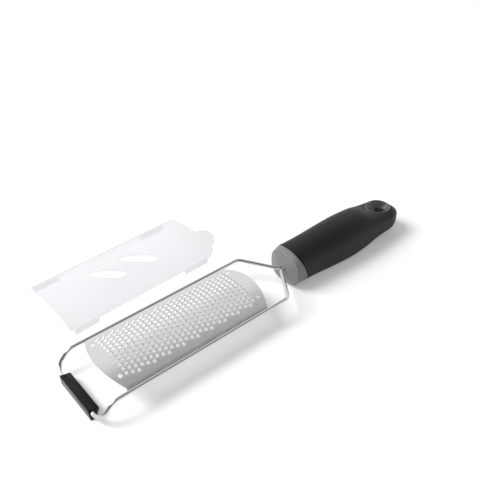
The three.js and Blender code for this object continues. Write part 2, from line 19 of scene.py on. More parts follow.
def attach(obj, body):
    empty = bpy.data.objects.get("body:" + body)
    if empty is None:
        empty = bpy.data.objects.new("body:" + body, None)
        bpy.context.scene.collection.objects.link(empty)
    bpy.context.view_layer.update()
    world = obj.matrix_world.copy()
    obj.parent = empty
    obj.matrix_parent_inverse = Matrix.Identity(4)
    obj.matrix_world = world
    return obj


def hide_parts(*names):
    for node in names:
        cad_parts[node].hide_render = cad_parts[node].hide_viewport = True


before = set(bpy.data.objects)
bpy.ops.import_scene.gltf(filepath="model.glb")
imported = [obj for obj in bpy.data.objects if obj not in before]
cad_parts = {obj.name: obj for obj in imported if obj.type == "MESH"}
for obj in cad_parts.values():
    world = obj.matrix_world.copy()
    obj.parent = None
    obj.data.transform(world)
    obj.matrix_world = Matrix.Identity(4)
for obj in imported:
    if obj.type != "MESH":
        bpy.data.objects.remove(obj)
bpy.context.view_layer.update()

Colour = tuple[float, float, float, float]
Triple = tuple[float, float, float]
Ring = Callable[[float], Vector]
Socket = bpy.types.NodeSocket
Thing = bpy.types.Object
Tree = bpy.types.NodeTree

log = logging.getLogger("grater")
MM = 0.001

# Distances in millimetres within which points merge, a cut meets a point and two places are the same
MERGE = 0.0005
CUT = 0.0001
TOUCH = 0.02

# A face looks down when its normal's height is below this
DOWN = -0.5


class Body(Enum):
    """The rigid bodies that a piece can ride on."""

    GRATER = "grater"
    COVER = "cover"


class Side(Enum):
    """The two long sides of the grater."""

    FAR = 1
    NEAR = -1


# Finishes


def linear(hex_code: str) -> Colour:
    """Turns an sRGB colour, a hash and six hex digits, into linear light with a full alpha."""
    channels = [int(hex_code[i:i + 2], 16) / 255 for i in (1, 3, 5)]
    return (*(c / 12.92 if c <= 0.04045 else ((c + 0.055) / 1.055) ** 2.4 for c in channels), 1.0)


def per_metre(size_mm: float) -> float:
    """Gives the texture scale at which one feature is the given size in millimetres."""
    return 1.0 / (size_mm * MM)


def blank_tree(owner: bpy.types.Material | bpy.types.World) -> Tree:
    """Gives a material or a world an empty node tree.

    Args:
        owner: The material or the world.

    Returns:
        The empty tree.
    """
    owner.use_nodes = True
    owner.node_tree.nodes.clear()
    return owner.node_tree


def add_node(
    tree: Tree,
    kind: str,
    settings: dict[str | int, object] | None = None,
    links: dict[str | int, Socket] | None = None,
) -> bpy.types.Node:
    """Adds one node with its settings and its incoming links.

    Args:
        tree: The node tree that gets the node.
        kind: The node's type name.
        settings: Values by input name or number, or by property name where no input has it.
        links: Output sockets by the name or number of the input that each one feeds.

    Returns:
        The new node.
    """
    node = tree.nodes.new(kind)
    for name, value in (settings or {}).items():
        if isinstance(name, int) or name in node.inputs:
            node.inputs[name].default_value = value
        else:
            setattr(node, name, value)
    for name, socket in (links or {}).items():
        tree.links.new(socket, node.inputs[name])
    return node


@dataclass(frozen=True)
class Finish:
    """A surface as it comes from its maker: a colour that drifts to a shade, a gloss and a fine grain.

    The grain varies the roughness and lifts the surface a little, so that no face is dead flat. It is
    drawn coarser than the real grain, which is too fine to show in the render.
    """

    name: str
    colour: str
    shade: str
    roughness: float
    roughness_spread: float
    grain_mm: float
    grain_lift_mm: float
    metallic: float = 0.0
    specular: float = 0.5
    ior: float = 1.5
    alpha: float = 1.0
    coat: float = 0.0
    sheen: float = 0.0
    stretch: Triple = (1.0, 1.0, 1.0)

    def material(self) -> bpy.types.Material:
        """Builds the finish as a node material.

        Returns:
            The material, named for what the piece is made of.
        """
        material = bpy.data.materials.new(self.name)
        tree = blank_tree(material)
        place = add_node(tree, "ShaderNodeTexCoord").outputs["Object"]
        along = add_node(tree, "ShaderNodeMapping", {"Scale": self.stretch}, {"Vector": place})
        noise = {"Scale": per_metre(self.grain_mm), "Detail": 3.0, "Roughness": 0.6}
        speckle = add_node(tree, "ShaderNodeTexNoise", noise, {"Vector": along.outputs["Vector"]})
        grain = speckle.outputs["Fac"]
        low, high = self.roughness - self.roughness_spread, self.roughness + self.roughness_spread
        gloss = add_node(tree, "ShaderNodeMapRange", {"To Min": low, "To Max": high}, {"Value": grain})
        relief = {"Strength": 0.6, "Distance": self.grain_lift_mm * MM}
        lift = add_node(tree, "ShaderNodeBump", relief, {"Height": grain})
        shader = add_node(
            tree,
            "ShaderNodeBsdfPrincipled",
            {
                "Base Color": linear(self.colour),
                "Metallic": self.metallic,
                "IOR": self.ior,
                "Specular IOR Level": self.specular,
                "Alpha": self.alpha,
                "Coat Weight": self.coat,
                "Sheen Weight": self.sheen,
            },
            {
                "Base Color": self.drift(tree, place),
                "Roughness": gloss.outputs["Result"],
                "Normal": lift.outputs["Normal"],
            },
        )
        add_node(tree, "ShaderNodeOutputMaterial", links={"Surface": shader.outputs["BSDF"]})
        return material

    def drift(self, tree: Tree, place: Socket) -> Socket:
        """Lets the colour drift slowly between the main colour and its shade.

        Args:
            tree: The material's node tree.
            place: The place on the surface.

        Returns:
            The drifting colour.
        """
        noise = {"Scale": per_metre(CLOUD_MM), "Detail": 2.0}
        cloud = add_node(tree, "ShaderNodeTexNoise", noise, {"Vector": place})
        blend = add_node(
            tree, "ShaderNodeMix", {"data_type": "RGBA"}, {"Factor": cloud.outputs["Fac"]}
        )
        colours = [s for s in blend.inputs if s.type == "RGBA"]
        for socket, colour in zip(colours, (self.colour, self.shade)):
            socket.default_value = linear(colour)
        return next(s for s in blend.outputs if s.type == "RGBA")


# Size of the slow drift in colour on moulded and rolled surfaces
CLOUD_MM = 18.0

# Drawn stainless wire: bright, with faint lines along its length
DRAWN_STEEL = Finish(
    "stainless_wire_drawn", "#d7d7d7", "#d0d0d0", roughness=0.1, roughness_spread=0.03,
    grain_mm=0.9, grain_lift_mm=0.002, metallic=1.0, stretch=(0.08, 1.0, 1.0),
)

# Rolled and etched stainless sheet: a satin face with fine lines along the roll
ETCHED_STEEL = Finish(
    "stainless_sheet_etched", "#dedede", "#d7d7d7", roughness=0.27, roughness_spread=0.015,
    grain_mm=0.7, grain_lift_mm=0.0005, metallic=1.0, stretch=(0.05, 1.0, 1.0),
)

# Moulded rubber of the foot: nearly black, with a sheen that shows the white table in its front
FOOT_RUBBER = Finish(
    "rubber_moulded", "#151516", "#131314", roughness=0.26, roughness_spread=0.05,
    grain_mm=0.35, grain_lift_mm=0.008, specular=0.2,
)

# Soft thermoplastic rubber moulded over the handle: velvety, with a spark-eroded grain
GRIP_RUBBER = Finish(
    "thermoplastic_rubber_overmoulded", "#161617", "#141415", roughness=0.52, roughness_spread=0.06,
    grain_mm=0.4, grain_lift_mm=0.02, specular=0.25, sheen=0.02,
)

# Moulded polypropylene of the collar: mid grey with a fine matte grain
COLLAR_PLASTIC = Finish(
    "polypropylene_moulded_matte", "#828282", "#7e7e7e", roughness=0.32, roughness_spread=0.05,
    grain_mm=0.4, grain_lift_mm=0.008,
)

# Smooth moulding of the hanging eyelet: dark grey, with soft highlights in its dish
EYELET_PLASTIC = Finish(
    "polypropylene_moulded_gloss", "#525254", "#4e4e50", roughness=0.34, roughness_spread=0.03,
    grain_mm=0.5, grain_lift_mm=0.003, coat=0.1,
)

# Plain moulding of the core inside the grip
CORE_PLASTIC = Finish(
    "polypropylene_moulded_core", "#3a3a3c", "#363638", roughness=0.45, roughness_spread=0.05,
    grain_mm=0.5, grain_lift_mm=0.01,
)

# Translucent polypropylene sheet moulding of the cover: milky, with the table showing through
COVER_PLASTIC = Finish(
    "polypropylene_translucent", "#e1e1e5", "#dedee2", roughness=0.34, roughness_spread=0.05,
    grain_mm=0.6, grain_lift_mm=0.004, ior=1.49, alpha=0.38,
)


# Shop tools


def clamp(value: float, lowest: float, highest: float) -> float:
    """Keeps a value between two limits."""
    return max(lowest, min(highest, value))


def squared(value: float, square: float) -> float:
    """Gives a cosine or sine the power that draws an oval as squarely as asked."""
    return math.copysign(abs(value) ** (2 / square), value)


def quarter(step: int, steps: int) -> float:
    """Gives the angle of one step of a quarter turn."""
    return step / steps * math.pi / 2


def arc_r(half: float, rise: float) -> float:
    """Gives the radius of an arc from its half chord and its rise."""
    return (half ** 2 + rise ** 2) / (2 * rise)


def arc_height(at: float, half: float, rise: float) -> float:
    """Gives an arc's height above its chord at a distance from the middle."""
    radius = arc_r(half, rise)
    return rise - radius + math.sqrt(radius ** 2 - at ** 2)


def points_of(parts: Iterable[BMEdge | BMFace]) -> list[BMVert]:
    """Gives the points of some edges or faces, each once."""
    return list(dict.fromkeys(v for part in parts for v in part.verts))


def edges_at(points: Iterable[BMVert]) -> list[BMEdge]:
    """Gives the edges that meet some points, each once."""
    return list(dict.fromkeys(e for point in points for e in point.link_edges))


def sharpen(bm: BMesh, degrees: float) -> None:
    """Shades a mesh smooth but for the edges that turn by more than an angle.

    Args:
        bm: The mesh.
        degrees: The largest turn that still shades smooth.
    """
    limit = math.radians(degrees)
    for face in bm.faces:
        face.smooth = True
    for edge in bm.edges:
        edge.smooth = edge.is_manifold and edge.calc_face_angle(math.pi) <= limit


def turn_out(bm: BMesh) -> None:
    """Merges doubled points and turns every face outwards."""
    bmesh.ops.remove_doubles(bm, verts=bm.verts[:], dist=MERGE)
    bmesh.ops.recalc_face_normals(bm, faces=bm.faces[:])


def extrude_ring(bm: BMesh, edges: list[BMEdge]) -> tuple[list[BMVert], list[BMEdge]]:
    """Extrudes a run of edges in place.

    Args:
        bm: The mesh.
        edges: The edges to extrude.

    Returns:
        The new points and the new run of edges.
    """
    grown = bmesh.ops.extrude_edge_only(bm, edges=edges)["geom"]
    points = [g for g in grown if isinstance(g, BMVert)]
    fresh = set(points)
    run = [g for g in grown if isinstance(g, BMEdge) and fresh.issuperset(g.verts)]
    return points, run


def extrude_faces(bm: BMesh, faces: list[BMFace]) -> list[BMFace]:
    """Extrudes some faces in place and drops the old ones.

    Args:
        bm: The mesh.
        faces: The faces to extrude.

    Returns:
        The new faces.
    """
    grown = bmesh.ops.extrude_face_region(bm, geom=faces)["geom"]
    bmesh.ops.delete(bm, geom=faces, context="FACES_ONLY")
    return [g for g in grown if isinstance(g, BMFace)]


def spin(
    bm: BMesh, run: list[BMEdge], centre: Vector, axis: Vector, angle: float, steps: int
) -> list[BMEdge]:
    """Draws a skin by turning a run of edges round an axis.

    Args:
        bm: The mesh.
        run: The edges to turn.
        centre: A point on the axis.
        axis: The axis's direction.
        angle: How far to turn, in radians.
        steps: The number of steps to take.

    Returns:
        The run of edges at the end of the turn.
    """
    spun = bmesh.ops.spin(
        bm, geom=points_of(run) + run, cent=centre, axis=axis, angle=angle, steps=steps,
        use_merge=False, use_duplicate=False,
    )["geom_last"]
    return [g for g in spun if isinstance(g, BMEdge)]


def round_off(bm: BMesh, parts: list[BMEdge | BMVert], affect: str, offset: float, steps: int) -> None:
    """Rounds edges or corners off with an even curve."""
    bmesh.ops.bevel(
        bm, geom=parts, offset=offset, affect=affect, segments=steps, profile=0.5, material=-1
    )


def cap(bm: BMesh, edges: list[BMEdge]) -> None:
    """Closes a ring of edges with one face."""
    bmesh.ops.contextual_create(bm, geom=edges)


def sweep(bm: BMesh, sides: int, steps: Sequence[Ring]) -> tuple[list[BMEdge], list[BMEdge]]:
    """Draws a skin through rings, each one extruded from the last and set in place.

    Args:
        bm: The mesh that gets the skin.
        sides: Points in each ring.
        steps: One function for each ring that gives a point's place from its angle.

    Returns:
        The edges of the first ring and of the last.
    """
    turn = bm.verts.layers.float.get("turn") or bm.verts.layers.float.new("turn")
    ring = bmesh.ops.create_circle(bm, segments=sides, radius=1.0)["verts"]
    for vert in ring:
        vert[turn] = math.atan2(vert.co.y, vert.co.x)
        vert.co = steps[0](vert[turn])
    first = last = edges_at(ring)
    for step in steps[1:]:
        ring, last = extrude_ring(bm, last)
        for vert in ring:
            vert.co = step(vert[turn])
    return first, last


def loft(sides: int, steps: Sequence[Ring]) -> BMesh:
    """Draws a closed solid through rings, with a flat face at each end.

    Args:
        sides: Points in each ring.
        steps: The rings, as for sweep.

    Returns:
        The solid's mesh.
    """
    bm = bmesh.new()
    for end in sweep(bm, sides, steps):
        cap(bm, end)
    turn_out(bm)
    return bm


def as_object(name: str, bm: BMesh) -> Thing:
    """Puts a mesh drawn in millimetres into the scene, in metres at the origin.

    Args:
        name: The object's name.
        bm: The mesh, which is freed.

    Returns:
        The object.
    """
    mesh = bpy.data.meshes.new(name)
    bmesh.ops.scale(bm, vec=(MM, MM, MM), verts=bm.verts[:])
    bm.to_mesh(mesh)
    bm.free()
    thing = bpy.data.objects.new(name, mesh)
    bpy.context.scene.collection.objects.link(thing)
    return thing


def carve(body: BMesh, tool: BMesh) -> BMesh:
    """Cuts one closed mesh out of another.

    Args:
        body: The mesh to cut, which is freed.
        tool: The cutter, which is freed.

    Returns:
        The cut mesh, in millimetres.
    """
    block, cutter = as_object("block", body), as_object("cutter", tool)
    step = block.modifiers.new("cut", "BOOLEAN")
    step.operation, step.solver, step.object = "DIFFERENCE", "EXACT", cutter
    bpy.context.view_layer.update()
    depsgraph = bpy.context.evaluated_depsgraph_get()
    result = bpy.data.meshes.new_from_object(block.evaluated_get(depsgraph))
    rest = bmesh.new()
    rest.from_mesh(result)
    bmesh.ops.scale(rest, vec=(1 / MM, 1 / MM, 1 / MM), verts=rest.verts[:])
    for mesh in (block.data, cutter.data, result):
        bpy.data.meshes.remove(mesh)
    return rest


def deliver(name: str, bm: BMesh, finish: Finish, body: Body, node: str) -> Thing:
    """Finishes a piece: dresses it, rides it on its body and lets it stand for its solid.

    Args:
        name: The piece's name.
        bm: The mesh in millimetres, which is freed.
        finish: What the piece is made of.
        body: The body that it moves with.
        node: The solid that it stands for.

    Returns:
        The finished object.
    """
    piece = as_object(name, bm)
    piece.data.materials.append(finish.material())
    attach(piece, body.value)
    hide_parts(node)
    return piece


# The grater


@dataclass(frozen=True)
class Layout:
    """Sizes in millimetres that more than one piece follows."""

    fit: float = 0.3
    wire_d: float = 2.8
    rail_spacing: float = 56.0
    rail_z: float = 16.6
    bar_z: float = 5.8
    loop_run: float = 10.8
    blade_start: float = 22.3
    blade_length: float = 114.4
    rear_bend_x: float = 155.4
    root_x: float = 172.5
    collar_tip_x: float = 175.521
    collar_face_x: float = 177.121

    @property
    def wire_r(self) -> float:
        """Half the wire's thickness."""
        return self.wire_d / 2

    @property
    def blade_mid(self) -> float:
        """The middle of the blade along the rails."""
        return self.blade_start + self.blade_length / 2


@dataclass
class FrameWire:
    """One continuous round wire, bent as a bender does it: straight run, then arc."""

    layout: Layout
    tang_y: float = 1.9
    tang_z: float = 15.9
    tang_end_x: float = 227.521
    loop_corner_r: float = 8.0
    loop_bend_r: float = 11.0
    rail_bend_r: float = 6.0
    root_bend_r: float = 3.0
    sides: int = 20
    arc_steps: int = 10
    crease: float = 50.0

    def corners(self) -> list[tuple[Vector, float]]:
        """Gives the wire's route from one tang's end to the other's.

        Returns:
            Its corners with their bend radii.
        """
        at = self.layout
        half = at.rail_spacing / 2
        far = [
            (self.tang_end_x, self.tang_y, self.tang_z, 0.0),
            (at.root_x, self.tang_y, self.tang_z, self.root_bend_r),
            (at.rear_bend_x, half, at.rail_z, self.rail_bend_r),
            (at.loop_run, half, at.rail_z, self.loop_bend_r),
            (0.0, half, at.bar_z, self.loop_corner_r),
        ]
        near = [(x, -y, z, r) for x, y, z, r in reversed(far)]
        return [(Vector((x, y, z)), r) for x, y, z, r in far + near]

    def bend(
        self, bm: BMesh, run: list[BMEdge], at: Vector, turn: tuple[Vector, Vector], radius: float
    ) -> list[BMEdge]:
        """Bends the wire's end round an arc.

        Args:
            bm: The mesh.
            run: The ring of edges at the wire's end.
            at: The middle of that ring.
            turn: The headings before and after the bend.
            radius: The bend's radius at the wire's middle.

        Returns:
            The ring of edges at the new end.
        """
        before, after = turn
        axis = before.cross(after).normalized()
        centre = at + axis.cross(before).normalized() * radius
        return spin(bm, run, centre, axis, before.angle(after), self.arc_steps)

    def build(self) -> BMesh:
        """Draws the wire from one tang's end to the other's.

        Returns:
            The mesh, in millimetres.
        """
        bm = bmesh.new()
        route = self.corners()
        place = route[0][0].copy()
        heading = (route[1][0] - place).normalized()
        start = Matrix.Translation(place) @ heading.to_track_quat("Z", "Y").to_matrix().to_4x4()
        run = edges_at(bmesh.ops.create_circle(
            bm, cap_ends=True, segments=self.sides, radius=self.layout.wire_r, matrix=start
        )["verts"])
        for (corner, radius), (following, _) in zip(route[1:], route[2:] + route[-1:]):
            onward = following - corner
            reach = 0.0
            if onward.length:
                onward.normalize()
                reach = radius * math.tan(heading.angle(onward) / 2)
            stop = corner - heading * reach
            points, run = extrude_ring(bm, run)
            bmesh.ops.translate(bm, verts=points, vec=stop - place)
            place = stop
            if reach:
                run = self.bend(bm, run, place, (heading, onward), radius)
                place = corner + onward * reach
                heading = onward
        cap(bm, run)
        turn_out(bm)
        sharpen(bm, self.crease)
        return bm

    def deliver(self) -> list[Thing]:
        """Builds and dresses the wire."""
        return [deliver(
            "bent_wire_frame", self.build(), DRAWN_STEEL, Body.GRATER, "frame_wire"
        )]


@dataclass
class Blade:
    """An arched sheet with staggered holes, each with a tooth raised on its handle side."""

    layout: Layout
    sheet: float = 0.5
    columns: int = 28
    rows: int = 11
    pitch_x: float = 3.84
    pitch_y: float = 3.7
    stagger: int = 3
    hole_length: float = 2.5
    tooth_height: float = 0.85
    tooth_lean: float = 0.35
    tooth_shoulder: float = 0.12
    tooth_taper: float = 0.94
    front_dip: float = 0.25
    end_bulge: float = 7.0
    end_zones: int = 4
    rise: float = 4.8
    lift: float = 1.8
    flange_bend_r: float = 1.2
    flange_foot_z: float = 15.6
    flange_steps: int = 5
    corner_hole_r: float = 1.5
    corner_hole_inset: float = 0.7
    corner_hole_y: float = 17.0
    corner_lines: tuple[int, int] = (1, 3)
    corner_rows: tuple[int, int] = (12, 15)
    crease: float = 38.0

    @property
    def step_y(self) -> float:
        """The grid's step across the blade: a hole is two steps wide and a bridge one."""
        return self.pitch_y / self.stagger

    @property
    def flange_y(self) -> float:
        """How far out the turned-down edges lie."""
        return self.layout.rail_spacing / 2 - self.layout.wire_r - self.layout.fit

    @property
    def chord_half(self) -> float:
        """Half the arch's width, up to the bends of the turned-down edges."""
        return self.flange_y - self.flange_bend_r

    @property
    def arch_r(self) -> float:
        """The arch's radius."""
        return arc_r(self.chord_half, self.rise)

    @property
    def bend_y(self) -> float:
        """Where the arch ends and the turned-down edge begins."""
        slope = self.chord_half / self.arch_r
        return self.flange_y - self.flange_bend_r * (1 - slope)

    def arch_z(self, y: float) -> float:
        """The height of the arch's top face at a place across it."""
        return self.layout.rail_z + self.lift + arc_height(y, self.chord_half, self.rise)

    def lines_across(self) -> list[float]:
        """Gives the grid lines across the blade.

        Returns:
            Their places across, at every hole's edges and on the plain borders.
        """
        reach = (self.rows - 1) * self.stagger // 2 + self.stagger - 1
        inner = [j * self.step_y for j in range(-reach, reach + 1)]
        border = [(inner[-1] + self.bend_y) / 2, self.bend_y]
        return [-y for y in reversed(border)] + inner + border

    def field_lines(self) -> list[float]:
        """Gives the grid lines along the blade at the holes' edges.

        Returns:
            Their X, from the front.
        """
        first = self.layout.blade_mid - (self.columns - 1) * self.pitch_x / 2
        half = self.hole_length / 2
        return [first + c * self.pitch_x + s * half for c in range(self.columns) for s in (-1, 1)]

    def end_x(self, y: float, way: int) -> float:
        """The X of a bowed end, the front one for minus one and the rear one for one."""
        reach = self.layout.blade_length / 2 + arc_height(y, self.flange_y, self.end_bulge)
        return self.layout.blade_mid + way * reach

    def line_x(self, line: int, y: float, field_x: list[float]) -> float:
        """The X of a grid line, which bows with the blade's end outside the holes' lines.

        Args:
            line: The grid line's number from the front end.
            y: The place across the blade.
            field_x: The grid lines at the holes.

        Returns:
            The line's X there.
        """
        inside = line - self.end_zones
        if inside < 0:
            return field_x[0] + (self.end_x(y, -1) - field_x[0]) * -inside / self.end_zones
        if inside >= len(field_x):
            beyond = (inside - len(field_x) + 1) / self.end_zones
            return field_x[-1] + (self.end_x(y, 1) - field_x[-1]) * beyond
        return field_x[inside]

    def lay_out(self, bm: BMesh) -> dict[tuple[int, int], BMVert]:
        """Lays the blank out as a flat grid whose lines run along the holes' edges.

        Args:
            bm: The mesh that gets the blank.

        Returns:
            The grid's points by line along and line across.
        """
        field_x, across = self.field_lines(), self.lines_across()
        columns, rows = len(field_x) + 2 * self.end_zones - 1, len(across) - 1
        made = bmesh.ops.create_grid(bm, x_segments=columns, y_segments=rows, size=1.0)["verts"]
        points = {}
        for vert in made:
            line = round((vert.co.x + 1) / 2 * columns)
            row = round((vert.co.y + 1) / 2 * rows)
            vert.co = Vector((self.line_x(line, across[row], field_x), across[row], 0.0))
            points[line, row] = vert
        return points

    def holes(self) -> list[tuple[int, int]]:
        """Places the holes on the grid.

        Returns:
            Each hole's front grid line and its middle line across.
        """
        middle = (len(self.lines_across()) - 1) // 2
        top = (self.rows - 1) * self.stagger // 2
        return [
            (self.end_zones + 2 * column, middle + top + 1 - column % self.stagger - self.stagger * row)
            for column in range(self.columns)
            for row in range(self.rows)
        ]

    def punch(self, bm: BMesh, points: dict[tuple[int, int], BMVert]) -> None:
        """Opens every hole, dips its front edge and raises a tooth from its rear edge.

        Args:
            bm: The flat blank.
            points: The grid's points.
        """
        cells = {}
        keys = {vert: key for key, vert in points.items()}
        for face in bm.faces:
            corner = [keys[v] for v in face.verts]
            cells[min(c[0] for c in corner), min(c[1] for c in corner)] = face
        gone, teeth = [], []
        middles: dict[float, list[float]] = {}
        for line, row in self.holes():
            gone += [cells[line, row - 1], cells[line, row]]
            rear = [points[line + 1, row + k] for k in (-1, 0, 1)]
            teeth += [bm.edges.get(rear[:2]), bm.edges.get(rear[1:])]
            middles.setdefault(round(rear[1].co.x, 3), []).append(rear[1].co.y)
            points[line, row].co.z = -self.tooth_height * self.front_dip
        bmesh.ops.delete(bm, geom=gone, context="FACES")
        bmesh.ops.subdivide_edges(bm, edges=teeth, cuts=1)
        rims = [
            e for e in bm.edges
            if e.is_boundary and all(round(v.co.x, 3) in middles for v in e.verts)
        ]
        tips, _ = extrude_ring(bm, rims)
        self.raise_teeth(tips, middles)

    def raise_teeth(self, tips: list[BMVert], middles: dict[float, list[float]]) -> None:
        """Lifts the extruded edges into curved teeth that lean over their holes.

        Args:
            tips: The points along every tooth's free edge.
            middles: The holes' middles across the blade, by their rear edge's X.
        """
        for tip in tips:
            middle = min(middles[round(tip.co.x, 3)], key=lambda y: abs(y - tip.co.y))
            off = clamp((tip.co.y - middle) / self.step_y, -1.0, 1.0)
            swell = self.tooth_shoulder + (1 - self.tooth_shoulder) * math.cos(off * math.pi / 2)
            tip.co.z += self.tooth_height * swell
            tip.co.x -= self.tooth_lean * swell
            tip.co.y = middle + off * self.step_y * self.tooth_taper

    def drill(self, bm: BMesh) -> None:
        """Opens a round hole near each corner by drawing a block of the grid onto a circle.

        Args:
            bm: The flat blank.
        """
        field_x, across = self.field_lines(), self.lines_across()
        half = self.layout.blade_length / 2 - self.corner_hole_inset
        middle, last = len(across) // 2, len(field_x) + 2 * self.end_zones - 1
        slack = self.step_y / 10
        for way in (-1, 1):
            lines = sorted(k if way < 0 else last - k for k in self.corner_lines)
            for side in Side:
                rows = sorted(across[middle + side.value * j] for j in self.corner_rows)
                centre = Vector((self.layout.blade_mid + way * half, side.value * self.corner_hole_y, 0.0))

                def within(vert: BMVert) -> bool:
                    """Tells whether a point lies in the block of cells round the hole."""
                    columns = [self.line_x(line, vert.co.y, field_x) for line in lines]
                    return (
                        rows[0] - slack < vert.co.y < rows[1] + slack
                        and columns[0] - slack < vert.co.x < columns[1] + slack
                    )

                faces = [f for f in bm.faces if all(within(v) for v in f.verts)]
                bmesh.ops.delete(bm, geom=faces, context="FACES")
                edges = [e for e in bm.edges if e.is_boundary and all(within(v) for v in e.verts)]
                bmesh.ops.subdivide_edges(bm, edges=edges, cuts=2)
                for vert in points_of(e for e in bm.edges if e.is_boundary):
                    if within(vert):
                        vert.co = centre + (vert.co - centre).normalized() * self.corner_hole_r

    def arch(self, bm: BMesh) -> None:
        """Bends the flat blank over the arch, teeth and all.

        Args:
            bm: The flat blank.
        """
        for vert in bm.verts:
            lean = clamp(vert.co.y / self.arch_r, -1.0, 1.0)
            normal = Vector((0.0, lean, math.sqrt(1 - lean ** 2)))
            height = vert.co.z
            vert.co.z = self.arch_z(vert.co.y)
            vert.co += normal * height

    def fold(self, bm: BMesh, side: Side) -> None:
        """Turns one long edge down against its rail.

        Args:
            bm: The arched blank.
            side: The long edge to fold.
        """
        way = side.value
        border = [
            e for e in bm.edges
            if e.is_boundary and all(abs(v.co.y * way - self.bend_y) < TOUCH for v in e.verts)
        ]
        slope = math.asin(self.bend_y / self.arch_r)
        centre = Vector((
            0.0,
            way * (self.bend_y - self.flange_bend_r * math.sin(slope)),
            self.arch_z(self.bend_y) - self.flange_bend_r * math.cos(slope),
        ))
        angle = -way * (math.pi / 2 - slope)
        run = spin(bm, border, centre, Vector((1.0, 0.0, 0.0)), angle, self.flange_steps)
        lip, _ = extrude_ring(bm, run)
        bmesh.ops.translate(bm, verts=lip, vec=(0.0, 0.0, self.flange_foot_z - centre.z))

    def build(self) -> BMesh:
        """Cuts, arches and folds the sheet and gives it its thickness.

        Returns:
            The mesh, in millimetres.
        """
        bm = bmesh.new()
        points = self.lay_out(bm)
        self.punch(bm, points)
        self.drill(bm)
        self.arch(bm)
        for side in Side:
            self.fold(bm, side)
        turn_out(bm)
        if max(bm.faces, key=lambda f: f.calc_area()).normal.z < 0:
            bmesh.ops.reverse_faces(bm, faces=bm.faces[:])
        bmesh.ops.solidify(bm, geom=bm.faces[:], thickness=self.sheet)
        sharpen(bm, self.crease)
        return bm

    def deliver(self) -> list[Thing]:
        """Builds and dresses the blade."""
        return [deliver(
            "arched_blade", self.build(), ETCHED_STEEL, Body.GRATER, "blade"
        )]


@dataclass
class Foot:
    """A rubber sleeve with a flat base, on the front loop's bar."""

    base_half: float = 1.9
    front: float = -2.35
    front_top: float = 8.82
    rear: float = 5.5
    rear_top: float = 6.42
    base_length: float = 39.0
    end_lean: float = 7.0
    edge_r: float = 0.5
    edge_steps: int = 4
    crease: float = 40.0

    def build(self) -> BMesh:
        """Shapes a block to the foot's section and rounds its edges.

        Returns:
            The mesh, in millimetres.
        """
        bm = bmesh.new()
        lean = math.tan(math.radians(self.end_lean))
        for vert in bmesh.ops.create_cube(bm, size=2.0)["verts"]:
            if vert.co.z < 0:
                x, z = math.copysign(self.base_half, vert.co.x), 0.0
            elif vert.co.x < 0:
                x, z = self.front, self.front_top
            else:
                x, z = self.rear, self.rear_top
            vert.co = Vector((x, math.copysign(self.base_length / 2 - z * lean, vert.co.y), z))
        round_off(bm, bm.edges[:], "EDGES", self.edge_r, self.edge_steps)
        sharpen(bm, self.crease)
        return bm

    def deliver(self) -> list[Thing]:
        """Builds and dresses the foot."""
        return [deliver("rubber_foot", self.build(), FOOT_RUBBER, Body.GRATER, "foot")]


@dataclass(frozen=True)
class Station:
    """The handle's section at a distance behind the collar's face.

    Its upper and lower halves can differ in how square they are: two is round, more is squarer.
    """

    back: float
    half: float
    top: float
    base: float
    square: float
    under: float


